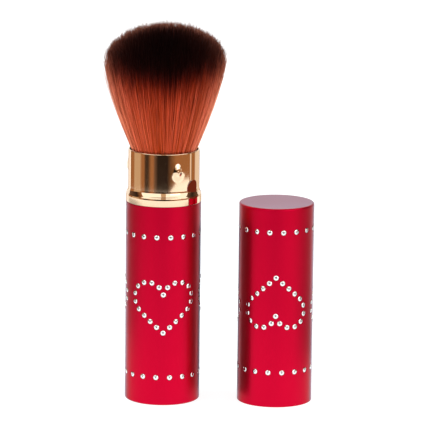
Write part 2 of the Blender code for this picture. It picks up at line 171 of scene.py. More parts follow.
def turned(profile, steps=192):
    """Spins a closed outline of (radius, height) points round the axis."""
    form = bmesh.new()
    points = [form.verts.new((radius, 0, height)) for radius, height in profile]
    edges = [form.edges.new(pair) for pair in zip(points, points[1:] + points[:1])]
    bmesh.ops.spin(
        form,
        geom=points + edges,
        cent=(0, 0, 0),
        axis=(0, 0, 1),
        angle=tau,
        steps=steps,
        use_merge=True,
    )
    bmesh.ops.remove_doubles(form, verts=form.verts, dist=0.0005 * mm)
    bmesh.ops.recalc_face_normals(form, faces=form.faces)
    return form


def break_edges(form, width):
    """Rounds the edges where a turned form turns by more than a radian."""
    bmesh.ops.bevel(
        form,
        geom=[e for e in form.edges if e.calc_face_angle(0) > 1],
        offset=width,
        segments=2,
        affect="EDGES",
        profile=0.5,
        material=-1,
    )


def smooth(piece, sharp_angle):
    """Smooth shading that keeps an edge where the surface turns by more than the angle."""
    piece.data.polygons.foreach_set("use_smooth", [True] * len(piece.data.polygons))
    piece.data.set_sharp_from_angle(angle=radians(sharp_angle))


FIBRES, SECTORS, SEGMENTS = 17000, 24, 5
ROOT_TOP = 69 * mm
ROOT_RADIUS = 7.9 * mm
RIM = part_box("collar_shell")[1].z
WIDEST = 100 * mm
HEAD_RADIUS = 18.2 * mm
DOME = 11.2 * mm
DYE_LINE = 96.7 * mm
DYE_FADE = 20 * mm
OUTER_SHARE = 0.9
GOLDEN_SHARE = 0.618034
THICKNESS_SHARES = (1, 1.1, 1.1, 1, 0.8, 0.3)

# Dyed nylon: the dark dye soaks down from the tips and fades out over about 12 mm, at a slightly
# different height on each fibre. Fibres also differ in tint, and along each fibre the tint varies at
# random as painted glints. Nylon this fine has a low soft gloss.
# At the edge of the head, as it is seen, the colour is painted lighter and brighter: a painted
# backlight that stands in for the light from behind shining through the fibres.
nylon, tree, shader = new_material("dip_dyed_nylon_fibre")
dye = add(tree, "Attribute", attribute_name="dye").outputs["Fac"]
tint = add(tree, "Attribute", attribute_name="tint").outputs["Fac"]
coords = add(tree, "SeparateXYZ", links={0: add(tree, "TexCoord").outputs["Object"]}).outputs
dome_range = {"From Min": 92 * mm, "From Max": 112 * mm, "To Max": 7 * mm}
above = add(tree, "MapRange", dome_range, {"Value": coords["Z"]})
out = add(tree, "CombineXYZ", links={"X": coords["X"], "Y": coords["Y"], "Z": above})
out = add(tree, "VectorMath", links={0: out}, operation="NORMALIZE")
to_eye = add(tree, "NewGeometry").outputs["Incoming"]
facing = add(tree, "VectorMath", links={0: out, 1: to_eye}, operation="DOT_PRODUCT").outputs
# Painted backlight: the more edge-on the head is seen, the lighter the dye that the ramp looks up
painted_backlight_edge = add(tree, "MapRange", {"From Min": 1, "From Max": 0}, {"Value": facing["Value"]})
painted_backlight_edge = add(tree, "Math", {1: 1.5}, {0: painted_backlight_edge}, operation="POWER")
dye_lightened_by_painted_backlight = add(tree, "Math", {1: -0.28}, {0: painted_backlight_edge, 2: dye}, operation="MULTIPLY_ADD")
copper = add(tree, "ValToRGB", links={"Fac": dye_lightened_by_painted_backlight})
stops = copper.color_ramp.elements
stops[0].color, stops[1].color = linear("#C8502F"), linear("#080101")
for place, colour in (
    (0.38, "#BC4426"),
    (0.56, "#A33317"),
    (0.70, "#701D0D"),
    (0.79, "#481009"),
    (0.90, "#200705"),
):
    stops.new(place).color = linear(colour)
pale = add(tree, "HueSaturation", {"Saturation": 0.98, "Value": 1.36}, {"Color": copper})
deep = add(tree, "HueSaturation", {"Saturation": 1.05, "Value": 0.7}, {"Color": copper})
# Painted backlight: towards the edge of the head the colour brightens, loses saturation and shifts a
# little in hue
lit = {
    "Hue": add(tree, "Math", {1: 0.02, 2: 0.5}, {0: painted_backlight_edge}, operation="MULTIPLY_ADD"),
    "Value": add(tree, "Math", {1: 0.3, 2: 1}, {0: painted_backlight_edge}, operation="MULTIPLY_ADD"),
    "Saturation": add(tree, "Math", {1: -0.22, 2: 1}, {0: painted_backlight_edge}, operation="MULTIPLY_ADD"),
    "Color": blend_colours(tree, tint, deep, pale),
}
colour = add(tree, "HueSaturation", links=lit)
feed(shader, {"Roughness": 0.5, "Specular IOR Level": 0.03}, {"Base Color": colour})

# Epoxy: the glue that the butt of the bundle is cast in, glassy, with the cut fibre ends as specks
epoxy, tree, shader = new_material("amber_epoxy_butt")
coords = add(tree, "TexCoord").outputs["Object"]
ends = add(tree, "TexVoronoi", {"Scale": 1 / (0.3 * mm)}, {"Vector": coords})
colour = blend_colours(tree, ends, "#5A2416", "#8C5A34")
feed(shader, {"Roughness": 0.25}, {"Base Color": colour})
root_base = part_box("bristles")[0].z
root = turned(
    [
        (0, root_base),
        (ROOT_RADIUS, root_base),
        (ROOT_RADIUS, ROOT_TOP + 0.6 * mm),
        (0, ROOT_TOP + 0.9 * mm),
    ],
    steps=64,
)
break_edges(root, 0.3 * mm)
smooth(add_piece("bristle_root", root, epoxy, "barrel", "bristles"), 35)


def spread(height):
    """How far the outermost fibre stands from the axis at a height: a fan that closes a little."""
    rise = (height - RIM) / mm
    return (9.6 + 0.424 * rise - 0.0033 * rise * abs(rise)) * mm


def trimmed_height(share):
    """Where the fibre at this share of the radius was cut when the head was trimmed to its dome."""
    height = WIDEST
    for _ in range(12):
        across = min(share * spread(height) / HEAD_RADIUS, 1)
        height = (height + WIDEST + DOME * sqrt(1 - across**2)) / 2
    return height


def plan_fibre(share, angle, random_fibre):
    """A fibre's path from root to tip, its tint, and the height where its dark dye ends.

    Neighbours share some of their length, lean and dye with their clump, and some with their lock,
    which is a finer clump. A few outer fibres stray outwards.
    """
    out = Vector((sin(angle), -cos(angle), 0))
    side = Vector((cos(angle), sin(angle), 0))
    clump = noise.noise_vector(Vector((share * 9 * sin(angle), share * 9 * cos(angle), 0)))
    lock = noise.noise_vector(Vector((share * 40 * sin(angle), share * 40 * cos(angle), 5)))
    tip = trimmed_height(share) + (0.5 * clump.x + 0.35 * lock.x) * mm
    tip += (random_fibre.gauss(-0.3, 0.5) + 0.45 * share * sin(angle)) * mm
    if random_fibre.random() < 0.06:
        tip -= random_fibre.uniform(0, 7) * mm
    if share > OUTER_SHARE:
        tip -= random_fibre.uniform(-1, 3.5) * mm
    lean = random_fibre.gauss(0, 0.1) * mm
    bow = random_fibre.gauss(0, 0.448) * mm
    cross = random_fibre.gauss(0, 0.25) * mm
    weave = random_fibre.gauss(0, 0.05) * mm
    stray = 0
    if random_fibre.random() < 0.02 and share > OUTER_SHARE:
        stray = random_fibre.uniform(0.3, 1) * mm
    path = []
    for level in range(SEGMENTS + 1):
        part = 1 - (1 - level / SEGMENTS) ** 1.15
        height = ROOT_TOP + part * (tip - ROOT_TOP)
        sway = part**1.5
        radius = share * spread(height)
        radius += sway * (0.25 * clump.y * mm * share + 0.08 * lock.y * mm + lean)
        radius += weave * sin(pi * part) - 0.5 * part**8 * share**4 * mm + stray * part**3
        across = sway * (0.3 * clump.z * mm + 0.15 * lock.z * mm + bow)
        across += cross * sin(pi * part)
        path.append(out * radius + side * across + Vector((0, 0, height)))
    tint = 0.47 + 0.1 * clump.z + 0.22 * lock.x + random_fibre.gauss(0, 0.38)
    line = 0.5 * sin(angle) - 1.4 * max(cos(angle), 0) ** 6 + 1.3 * clump.x + lock.y
    line = DYE_LINE + (line + random_fibre.gauss(0, 0.9)) * mm
    return path, min(max(tint, 0), 1), line + 2.2 * mm * (1 - share)


def grow_fibres(sector, random_fibre):
    """Grows one sector's fibres from small triangles at the root, a segment at a time."""
    form = bmesh.new()
    number = form.faces.layers.int.new("number")
    dye_layer = form.verts.layers.float.new("dye")
    tint_and_painted_glint_layer = form.verts.layers.float.new("tint")
    plans = []
    for i in range(FIBRES // SECTORS):
        share = sqrt((i + random_fibre.random()) * SECTORS / FIBRES)
        turn = (GOLDEN_SHARE * i + random_fibre.gauss(0, 0.01)) % 1
        path, tint, dye_end = plan_fibre(share, tau * (sector + turn) / SECTORS, random_fibre)
        plans.append((path, tint, dye_end))
        thickness = random_fibre.uniform(0.075, 0.1) * mm
        twist = Matrix.Rotation(random_fibre.random() * tau, 4, "Z")
        made = bmesh.ops.create_circle(
            form,
            cap_ends=True,
            segments=3,
            radius=thickness,
            matrix=Matrix.Translation(path[0]) @ twist,
        )["verts"]
        made[0].link_faces[0][number] = i
        for vert in made:
            vert[tint_and_painted_glint_layer] = tint
    faces = list(form.faces)
    for level in range(1, SEGMENTS + 1):
        faces = bmesh.ops.extrude_discrete_faces(form, faces=faces)["faces"]
        taper = THICKNESS_SHARES[level] / THICKNESS_SHARES[level - 1]
        for face in faces:
            path, tint, dye_end = plans[face[number]]
            step = path[level] - path[level - 1]
            middle = face.calc_center_median()
            dark = (path[level].z - dye_end) / DYE_FADE + 0.7
            # Each segment's tint varies at random on top of the fibre's own: painted glints along
            # the fibre
            shade = tint + random_fibre.gauss(0, 0.18)
            for vert in face.verts:
                vert.co = middle + (vert.co - middle) * taper + step
                vert[tint_and_painted_glint_layer] = min(max(shade, 0), 1)
                vert[dye_layer] = min(max(dark, 0), 1)
    bmesh.ops.holes_fill(form, edges=[e for e in form.edges if e.is_boundary], sides=3)
    bmesh.ops.recalc_face_normals(form, faces=form.faces)
    form.faces.layers.int.remove(number)
    return form


# The noise behind the clumps would otherwise take its seed from the clock
noise.seed_set(1)
random_fibre = random.Random(7)
for sector in range(SECTORS):
    name = f"bristles_{sector:02d}"
    fibres = grow_fibres(sector, random_fibre)
    piece = add_piece(name, fibres, nylon, "barrel", "bristles")
    piece.data.polygons.foreach_set("use_smooth", [True] * len(piece.data.polygons))
    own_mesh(piece)


# Barrel shell: deep-drawn aluminium, closed and flat at the bottom, satin-etched and anodised red.
# The seats for the stones are drilled before it is dyed, and the mouth is cut and lightly broken.
SHELL_RADIUS = 11.0 * mm
SHELL_BORE = 10.55 * mm
SHELL_HEIGHT = 59.2 * mm
SHELL_FLOOR = 0.8 * mm
SHELL_EDGE = 0.5 * mm
SHELL_LIP = 0.12 * mm

# Anodised aluminium: the dyed oxide lets the metal through, so it shines in its own colour with a
# satin blur. Fine drawing lines of about 0.15 mm run up the wall and the sealed oxide is a little
# uneven.
red_anodised, tree, shader = new_material("red_anodised_aluminium")
coords = add(tree, "TexCoord").outputs["Object"]
along = add(tree, "Mapping", {"Scale": (1, 1, 0.02)}, {"Vector": coords})
lines = add(tree, "TexNoise", {"Scale": 1 / (0.3 * mm), "Detail": 3}, {"Vector": along})
etch = add(tree, "TexNoise", {"Scale": 1 / (0.12 * mm), "Detail": 2}, {"Vector": coords})
cloud = add(tree, "TexNoise", {"Scale": 1 / (14 * mm), "Detail": 3}, {"Vector": coords})
surface = add(tree, "Math", {1: 0.5}, {0: lines, 2: etch}, operation="MULTIPLY_ADD")
colour = blend_colours(tree, cloud, "#CE002E", "#D40032")
rough = add(tree, "MapRange", {"To Min": 0.33, "To Max": 0.4}, {"Value": cloud})
bump = add(tree, "Bump", {"Strength": 0.12, "Distance": 0.01 * mm}, {"Height": surface})
gloss = {
    "Metallic": 1,
    "Specular Tint": (0.25, 0.18, 0.35, 1),
    "Coat Weight": 1,
    "Coat IOR": 1.1,
    "Coat Roughness": 0.2,
    "Sheen Weight": 0.85,
    "Sheen Roughness": 0.3,
    "Sheen Tint": (0.5, 0.78, 0.95, 1),
}
feed(shader, gloss, {"Base Color": colour, "Roughness": rough, "Normal": bump})

# The stones' layout: two rings of 17 and three hearts of 22, drilled on an indexing jig
RING_STONES, HEARTS, HALF_HEART_STONES = 17, 3, 12
LOW_RING, HIGH_RING = 8.4 * mm, SHELL_HEIGHT - 9.0 * mm
HEART_GAP = 4.34 * mm
HEART_HALF = (tau * SHELL_RADIUS / HEARTS - HEART_GAP) / 2
HEART_LOBE = HEART_HALF * 0.508
HEART_SPREAD = HEART_HALF - HEART_LOBE
HEART_RISE = HEART_HALF * 1.095
SEAT_RADIUS = 0.84 * mm
SEAT_DEPTH = 0.24 * mm
TO_FRONT = Matrix.Rotation(pi / 2, 4, "X")


def heart_outline():
    """Half a heart as (across, up) from its tip: a straight side, then a lobe to the notch."""
    reach = hypot(HEART_SPREAD, HEART_RISE)
    side = sqrt(reach**2 - HEART_LOBE**2)
    lean = atan2(HEART_SPREAD, HEART_RISE) + asin(HEART_LOBE / reach)
    length = side + HEART_LOBE * (acos(-HEART_SPREAD / HEART_LOBE) + lean)
    points = []
    for i in range(HALF_HEART_STONES):
        along = length * i / (HALF_HEART_STONES - 1)
        angle = (along - side) / HEART_LOBE - lean
        across, up = HEART_SPREAD + HEART_LOBE * cos(angle), HEART_RISE + HEART_LOBE * sin(angle)
        if along < side:
            across, up = along * sin(lean), along * cos(lean)
        points.append((across, up))
    return points


def stone_places(turn, shift):
    """Each stone's place: its angle from the front and its height above the closed end."""
    low, high = LOW_RING + shift, HIGH_RING + shift
    ring = [tau * (i + 0.5) / RING_STONES + turn for i in range(RING_STONES)]
    places = [(angle, height) for angle in ring for height in (low, high)]
    tip = (low + high - HEART_RISE - HEART_LOBE) / 2
    for heart in range(HEARTS):
        middle = tau * heart / HEARTS
        for i, (across, up) in enumerate(heart_outline()):
            for way in (1, -1) if 0 < i < HALF_HEART_STONES - 1 else (1,):
                places.append((middle + way * across / SHELL_RADIUS + turn, tip + up))
    return places


def verts_in(elements):
    """The vertices among the mixed elements that an operator gives back."""
    return [element for element in elements if isinstance(element, bmesh.types.BMVert)]


def at_each_stone(form, places):
    """Copies what faces the front at the origin to each stone's place on the wall."""
    pattern = list(form.verts) + list(form.edges) + list(form.faces)
    for angle, height in places:
        copied = bmesh.ops.duplicate(form, geom=pattern)["geom"]
        place = Matrix.Translation((0, 0, height)) @ Matrix.Rotation(angle, 4, "Z")
        bmesh.ops.transform(form, verts=verts_in(copied), matrix=place)
    bmesh.ops.delete(form, geom=verts_in(pattern))
    return form


def arc(centre, radius, start, end, steps):
    """Points of an arc in the outline, from one angle in degrees to another."""
    angles = [radians(start + (end - start) * i / steps) for i in range(steps + 1)]
    return [(centre[0] + radius * cos(a), centre[1] + radius * sin(a)) for a in angles]


def shell_outline():
    """The drawn shell from its closed end up the wall, over the mouth's lip and down inside."""
    edge, lip = SHELL_EDGE, SHELL_LIP
    outline = [(0, 0), (SHELL_RADIUS - 1.4 * edge, 0)]
    outline += arc((SHELL_RADIUS - edge, edge), edge, -90, 0, 6)
    outline += [(SHELL_RADIUS, 1.4 * edge), (SHELL_RADIUS, SHELL_HEIGHT - 2 * lip)]
    outline += arc((SHELL_RADIUS - lip, SHELL_HEIGHT - lip), lip, 0, 90, 3)
    outline += arc((SHELL_BORE + lip, SHELL_HEIGHT - lip), lip, 90, 180, 3)
    outline += [(SHELL_BORE, SHELL_HEIGHT - 2 * lip), (SHELL_BORE, SHELL_FLOOR + 1.4 * edge)]
    outline += arc((SHELL_BORE - edge, SHELL_FLOOR + edge), edge, 0, -90, 4)
    outline += [(SHELL_BORE - 1.4 * edge, SHELL_FLOOR), (0, SHELL_FLOOR)]
    return outline


def drilled_shell(name, places, body, node):
    """A drawn shell, closed end down, with a seat drilled at each place."""
    drill = bmesh.new()
    bmesh.ops.create_cone(
        drill,
        cap_ends=True,
        segments=24,
        radius1=SEAT_RADIUS * 0.97,
        radius2=SEAT_RADIUS * 1.06,
        depth=2 * SEAT_DEPTH,
        matrix=TO_FRONT @ Matrix.Translation((0, 0, SHELL_RADIUS)),
    )
    tool = bpy.data.objects.new("drill", bpy.data.meshes.new("drill"))
    at_each_stone(drill, places).to_mesh(tool.data)
    drill.free()
    scene.collection.objects.link(tool)
    shell = add_piece(name, turned(shell_outline(), 240), red_anodised, body, node)
    cut = shell.modifiers.new("seats", "BOOLEAN")
    cut.object, cut.operation, cut.solver = tool, "DIFFERENCE", "EXACT"
    evaluated = shell.evaluated_get(bpy.context.evaluated_depsgraph_get())
    drilled = bpy.data.meshes.new_from_object(evaluated)
    shell.modifiers.clear()
    plain, shell.data = shell.data, drilled
    drilled.name = name
    bpy.data.meshes.remove(plain)
    bpy.data.objects.remove(tool)
    return shell


barrel_places = stone_places(radians(1.6), 0)
smooth(drilled_shell("barrel_shell_drawn", barrel_places, "barrel", "barrel_shell"), 30)


# Barrel stones: foil-backed glass, faceted round a low domed table, glued into the drilled seats.
# The foil throws the light back, so they look silver white. A dark dot is painted in the middle
# of each table: a painted reflection of the dark room in front of the stone.
foiled_glass, tree, shader = new_material("foil_backed_crystal")
coords = add(tree, "TexCoord").outputs["Object"]
film = add(tree, "TexNoise", {"Scale": 1 / (0.5 * mm), "Detail": 2}, {"Vector": coords})
painted_reflection_mask = add(tree, "Attribute", attribute_name="painted_reflection_mask").outputs["Fac"]
painted_reflection_dot = add(tree, "MapRange", {"From Min": 0.05, "From Max": 0.5}, {"Value": painted_reflection_mask})
colour = blend_colours(tree, painted_reflection_dot, blend_colours(tree, film, "#E9EEF2", "#F6F4F2"), "#1E262D")
rough = add(tree, "MapRange", {"To Min": 0.03, "To Max": 0.12}, {"Value": film})
gloss = {"Metallic": 1, "Coat Weight": 1, "Coat Roughness": 0.02}
feed(shader, gloss, {"Base Color": colour, "Roughness": rough})

STONE_RADIUS, STONE_TABLE = 0.74 * mm, 0.5 * mm
STONE_CROWN, STONE_DOME = 0.11 * mm, 0.03 * mm
STONE_GIRDLE, STONE_SUNK = 0.2 * mm, 0.02 * mm


def cut_stone():
    """One stone facing the front: a domed table, ten crown facets, and a girdle in its seat."""
    form = bmesh.new()
    painted_reflection_mask = form.verts.layers.float.new("painted_reflection_mask")
    bmesh.ops.create_cone(
        form,
        cap_ends=True,
        segments=10,
        radius1=STONE_RADIUS,
        radius2=STONE_TABLE,
        depth=STONE_CROWN,
        matrix=Matrix.Translation((0, 0, STONE_CROWN / 2)),
    )
    top = [f for f in form.faces if f.calc_center_median().z > 0.9 * STONE_CROWN]
    raised = bmesh.ops.extrude_face_region(form, geom=top)["geom"]
    bmesh.ops.delete(form, geom=top, context="FACES_ONLY")
    for vert in verts_in(raised):
        vert.co = Vector((vert.co.x / 2, vert.co.y / 2, STONE_CROWN + STONE_DOME * 0.75))
    top = [element for element in raised if isinstance(element, bmesh.types.BMFace)]
    # The poke's middle vertex marks where the painted reflection dot goes
    bmesh.ops.poke(form, faces=top, offset=STONE_DOME * 0.25)["verts"][0][painted_reflection_mask] = 1
    for face in form.faces:
        face.smooth = face.calc_center_median().z > STONE_CROWN
    back = [f for f in form.faces if f.calc_center_median().z < 0.1 * STONE_CROWN]
    girdle = bmesh.ops.extrude_face_region(form, geom=back)["geom"]
    bmesh.ops.translate(form, verts=verts_in(girdle), vec=(0, 0, -STONE_GIRDLE))
    bmesh.ops.delete(form, geom=back, context="FACES_ONLY")
    place = TO_FRONT @ Matrix.Translation((0, 0, SHELL_RADIUS - STONE_SUNK))
    bmesh.ops.transform(form, verts=form.verts, matrix=place)
    return form


def set_stones(name, places, body, node):
    """Sets a stone at each place of a shell that stands closed end down."""
    stones = at_each_stone(cut_stone(), places)
    bmesh.ops.recalc_face_normals(stones, faces=stones.faces)
    return add_piece(name, stones, foiled_glass, body, node)


set_stones("barrel_stones", barrel_places, "barrel", "barrel_shell")


# Mouth bushing: a black acetal ring, moulded with chamfered edges and glued into the barrel's
# mouth. The guide tube runs in it.
BUSHING_BORE, BUSHING_RADIUS, BUSHING_EDGE = 9.75 * mm, 10.25 * mm, 0.15 * mm

# Acetal: dense and slick, so its shine is low and soft, with faint rub marks along the travel
black_acetal, tree, shader = new_material("black_acetal")
coords = add(tree, "TexCoord").outputs["Object"]
along = add(tree, "Mapping", {"Scale": (1, 1, 0.04)}, {"Vector": coords})
rubs = add(tree, "TexNoise", {"Scale": 1 / (0.5 * mm), "Detail": 4}, {"Vector": along})
patches = add(tree, "TexNoise", {"Scale": 1 / (6 * mm), "Detail": 2}, {"Vector": coords})
colour = blend_colours(tree, rubs, "#0E0E10", "#1A191B")
rough = add(tree, "Math", {1: 0.35}, {0: rubs, 2: patches}, operation="MULTIPLY_ADD")
rough = add(tree, "MapRange", {"To Min": 0.2, "To Max": 0.4}, {"Value": rough})
bump = add(tree, "Bump", {"Strength": 0.15, "Distance": 0.01 * mm}, {"Height": rubs})
surface = {"Base Color": colour, "Roughness": rough, "Normal": bump}
feed(shader, {"Specular IOR Level": 0.35}, surface)
low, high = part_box("mouth_bushing")
bushing = turned(
    [
        (BUSHING_BORE + BUSHING_EDGE, low.z),
        (BUSHING_RADIUS - BUSHING_EDGE, low.z),
        (BUSHING_RADIUS, low.z + BUSHING_EDGE),
        (BUSHING_RADIUS, high.z - BUSHING_EDGE),
        (BUSHING_RADIUS - BUSHING_EDGE, high.z),
        (BUSHING_BORE + BUSHING_EDGE, high.z),
        (BUSHING_BORE, high.z - BUSHING_EDGE),
        (BUSHING_BORE, low.z + BUSHING_EDGE),
    ]
)
bushing_ring = add_piece(
    "mouth_bushing_ring", bushing, black_acetal, "barrel", "mouth_bushing"
)
smooth(bushing_ring, 30)


# Collar: pale gold aluminium, spun with a coved foot over a short skirt, its rim rolled over. Three
# bumps, pressed out from inside, hold the cap by friction.
NECK_RADIUS, NECK_INNER, SKIRT_INNER = 10.4 * mm, 10.0 * mm, 10.6 * mm
SEAM_GAP, HEM, RIM_ROLL = 0.25 * mm, 0.1 * mm, 0.2 * mm
COVE_BASE, COVE_TOP = 2.2 * mm, 4.0 * mm
SHOULDER, SHOULDER_IN, SHOULDER_DOWN = 0.12 * mm, 0.145 * mm, 0.13 * mm
BUMP_DOWN, BUMP_REACH, BUMP_HEIGHT = 5.3 * mm, 1.35 * mm, 0.4 * mm
SWELL_REACH, SWELL_HEIGHT = 2.5 * mm, 0.05 * mm
DENT_REACH, DENT_DEPTH = 0.65 * mm, 0.1 * mm
BUMPS, FIRST_BUMP = 3, radians(24)

# Gold anodised aluminium: polished on the lathe before it is dyed, so it mirrors its surroundings,
# with very fine turning rings and a little unevenness from handling
polished_gold, tree, shader = new_material("polished_gold_anodised_aluminium")
coords = add(tree, "TexCoord").outputs["Object"]
around = add(tree, "Mapping", {"Scale": (0.02, 0.02, 1)}, {"Vector": coords})
lathe = add(tree, "TexNoise", {"Scale": 1 / (0.2 * mm), "Detail": 3}, {"Vector": around})
handling = add(tree, "TexNoise", {"Scale": 1 / (4 * mm), "Detail": 4}, {"Vector": coords})
colour = blend_colours(tree, handling, "#F6D8B4", "#FADDBC")
rough = add(tree, "MapRange", {"To Min": 0.02, "To Max": 0.06}, {"Value": handling})
bump = add(tree, "Bump", {"Strength": 0.06, "Distance": 0.004 * mm}, {"Height": lathe})
feed(shader, {"Metallic": 1}, {"Base Color": colour, "Roughness": rough, "Normal": bump})


def swelling(away, reach, height, power=2):
    """How high a smooth round rise stands at a distance from its middle."""
    return height * max(1 - (away / reach) ** 2, 0) ** power


low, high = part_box("collar_shell")
seam, cove_base, cove_top = low.z - SEAM_GAP, low.z + COVE_BASE, low.z + COVE_TOP
flare = SHELL_RADIUS - NECK_RADIUS
cove_radius = (flare**2 + (cove_top - cove_base) ** 2) / (2 * flare)
cove_start = 180 + degrees(asin((cove_top - cove_base) / cove_radius))
shoulder_middle = (SHELL_RADIUS - SHOULDER_IN, cove_base - SHOULDER_DOWN)
bump_middle = high.z - BUMP_DOWN
bump_rows = [bump_middle + (i - 17) * 0.2 * mm for i in range(35)]
outline = arc((SHELL_RADIUS - HEM, seam + HEM), HEM, -90, 0, 3)
outline += [(SHELL_RADIUS, seam + 1.5 * HEM)]
outline += [(SHELL_RADIUS, cove_base - 5 * SHOULDER), (SHELL_RADIUS, cove_base - 4 * SHOULDER)]
outline += [(SHELL_RADIUS - 0.1 * SHOULDER, cove_base - 0.25 * mm)]
outline += arc(shoulder_middle, SHOULDER, 8, 50, 4)
outline += arc((NECK_RADIUS + cove_radius, cove_top), cove_radius, cove_start, 180, 12)[1:]
outline += [(NECK_RADIUS, cove_top + HEM)]
outline += [(NECK_RADIUS, height) for height in bump_rows]
outline += [(NECK_RADIUS, high.z - 1.4 * RIM_ROLL)]
outline += arc((NECK_RADIUS - RIM_ROLL, high.z - RIM_ROLL), RIM_ROLL, 0, 180, 10)
outline += [(NECK_INNER, high.z - 1.4 * RIM_ROLL)]
outline += [(NECK_INNER, height) for height in reversed(bump_rows)]
outline += [(NECK_INNER, cove_top - RIM_ROLL), (SKIRT_INNER, cove_base - RIM_ROLL)]
outline += [(SKIRT_INNER, seam)]
collar = turned(outline, 330)

# Each bump is an egg shape, longer upwards, on a faint swelling of the wall, with a dent in its top
bump_sector = tau / BUMPS
for vert in collar.verts:
    angle = atan2(vert.co.x, -vert.co.y) - FIRST_BUMP
    around_wall = ((angle + bump_sector / 2) % bump_sector - bump_sector / 2) * NECK_RADIUS
    above = vert.co.z - bump_middle
    away = hypot(around_wall, above / (1.9 if above > 0 else 1.25))
    push = swelling(away, BUMP_REACH, BUMP_HEIGHT, 1.5)
    push += swelling(away, SWELL_REACH, SWELL_HEIGHT)
    push -= swelling(away, DENT_REACH, DENT_DEPTH)
    vert.co.x *= 1 + push / NECK_RADIUS
    vert.co.y *= 1 + push / NECK_RADIUS
smooth(add_piece("collar_spun", collar, polished_gold, "collar", "collar_shell"), 40)


# Guide tube: black acetal, moulded with a lip at its foot and a flange that seats in the collar's
# skirt, and glued in. It slides round the ferrule and gathers the bristles when the collar goes up.
TUBE_BORE, TUBE_RADIUS, TUBE_SEAT = 9.0 * mm, 9.5 * mm, 9.7 * mm
LIP_RADIUS, LIP_HEIGHT = 10.25 * mm, 0.9 * mm
FLANGE_RADIUS, FLANGE_HEIGHT = 10.3 * mm, 1.6 * mm
low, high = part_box("guide_tube")
collar_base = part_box("collar_shell")[0].z
tube = turned(
    [
        (TUBE_BORE, low.z),
        (LIP_RADIUS, low.z),
        (LIP_RADIUS, low.z + LIP_HEIGHT),
        (TUBE_RADIUS, low.z + LIP_HEIGHT),
        (TUBE_RADIUS, collar_base),
        (FLANGE_RADIUS, collar_base),
        (FLANGE_RADIUS, collar_base + FLANGE_HEIGHT),
        (TUBE_SEAT, collar_base + FLANGE_HEIGHT),
        (TUBE_SEAT, high.z),
        (TUBE_BORE, high.z),
    ]
)
break_edges(tube, 0.1 * mm)
moulded_tube = add_piece(
    "guide_tube_moulded", tube, black_acetal, "collar", "guide_tube"
)
smooth(moulded_tube, 35)


# Friction ring: a split band of nitrile rubber, snapped on above the guide tube's lip. It rubs the
# barrel's bore and holds the collar. Nitrile is matt black, with a greyer bloom of dust.
nitrile, tree, shader = new_material("nitrile_rubber")
coords = add(tree, "TexCoord").outputs["Object"]
dust = add(tree, "TexNoise", {"Scale": 1 / (0.4 * mm), "Detail": 4}, {"Vector": coords})
colour = blend_colours(tree, dust, "#161616", "#2B2A29")
rough = add(tree, "MapRange", {"To Min": 0.6, "To Max": 0.85}, {"Value": dust})
bump = add(tree, "Bump", {"Strength": 0.3, "Distance": 0.02 * mm}, {"Height": dust})
feed(shader, links={"Base Color": colour, "Roughness": rough, "Normal": bump})
dress("friction_ring", nitrile)


# Cap: the same drawn shell, turned over, with the pattern of stones drilled a little nearer its
# closed end. Its bore slides over the neck's bumps.
def turn_over(mesh):
    """Turns over what was built closed end down, and puts it where the cap stands."""
    low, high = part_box("cap_shell")
    middle = (low + high) / 2
    place = Matrix.Translation((middle.x, middle.y, SHELL_HEIGHT))
    mesh.transform(place @ Matrix.Rotation(pi, 4, "Y"))


cap_places = stone_places(radians(0.2), -1.4 * mm)
cap = drilled_shell("cap_shell_drawn", cap_places, "cap", "cap_shell")
turn_over(cap.data)
smooth(cap, 30)
turn_over(set_stones("cap_stones", cap_places, "cap", "cap_shell").data)


# Studio: a white table that runs on into a white tent, soft boxes at both sides and above, and
# cards and flags that only the metal and the stones see.
def is_seen(tree):
    """1 for rays that look at a thing directly or in metal or glass."""
    path = add(tree, "LightPath").outputs
    directly = {0: path["Is Camera Ray"], 1: path["Is Glossy Ray"]}
    either = add(tree, "Math", links=directly, operation="MAXIMUM")
    return add(tree, "Math", links={0: either, 1: path["Is Transmission Ray"]}, operation="MAXIMUM")


world = bpy.data.worlds.new("tent")
world.use_nodes = True
scene.world = world
tree = world.node_tree
strength = add(tree, "MapRange", {"To Min": 0.54, "To Max": 1.0}, {"Value": is_seen(tree)})
feed(tree.nodes["Background"], {"Color": (1, 1, 1, 1)}, {"Strength": strength})

# Acrylic: a satin white sheet that is lit from below, so it melts into the tent without an edge
table_white, tree, shader = new_material("white_acrylic_table")
feed(shader, {"Base Color": linear("#F4F4F4"), "Roughness": 0.6, "Specular IOR Level": 0.1})
glow = add(tree, "Emission", {"Strength": 1.2})
share = add(tree, "Math", {1: 0.72}, {0: is_seen(tree)}, operation="MULTIPLY")
mixed = add(tree, "MixShader", links={0: share, 1: shader, 2: glow})
feed(tree.nodes["Material Output"], links={"Surface": mixed})
form = bmesh.new()
bmesh.ops.create_circle(form, cap_ends=True, segments=96, radius=6)
floor = bpy.data.objects.new("table", finished_mesh("table", form, table_white))
scene.collection.objects.link(floor)


def add_softbox(name, azimuth, elevation, distance, size, power):
    """A soft box that faces the object from an azimuth, counted from the camera to the right."""
    light = bpy.data.lights.new(name, "AREA")
    light.shape, light.size, light.size_y, light.energy = "RECTANGLE", size[0], size[1], power
    box = bpy.data.objects.new(name, light)
    scene.collection.objects.link(box)
    a, e = radians(azimuth), radians(elevation)
    out = Vector((sin(a) * cos(e), -cos(a) * cos(e), sin(e)))
    box.rotation_euler = out.to_track_quat("Z", "Y").to_euler()
    box.location = Vector((15 * mm, 0, 50 * mm)) + out * distance
    box.visible_glossy = False


add_softbox("softbox_right", 85, 25, 0.9, (0.5, 0.7), 6.4)
add_softbox("softbox_left", -85, 25, 0.9, (0.5, 0.7), 6)
add_softbox("softbox_top", 0, 80, 0.9, (0.8, 0.8), 4)


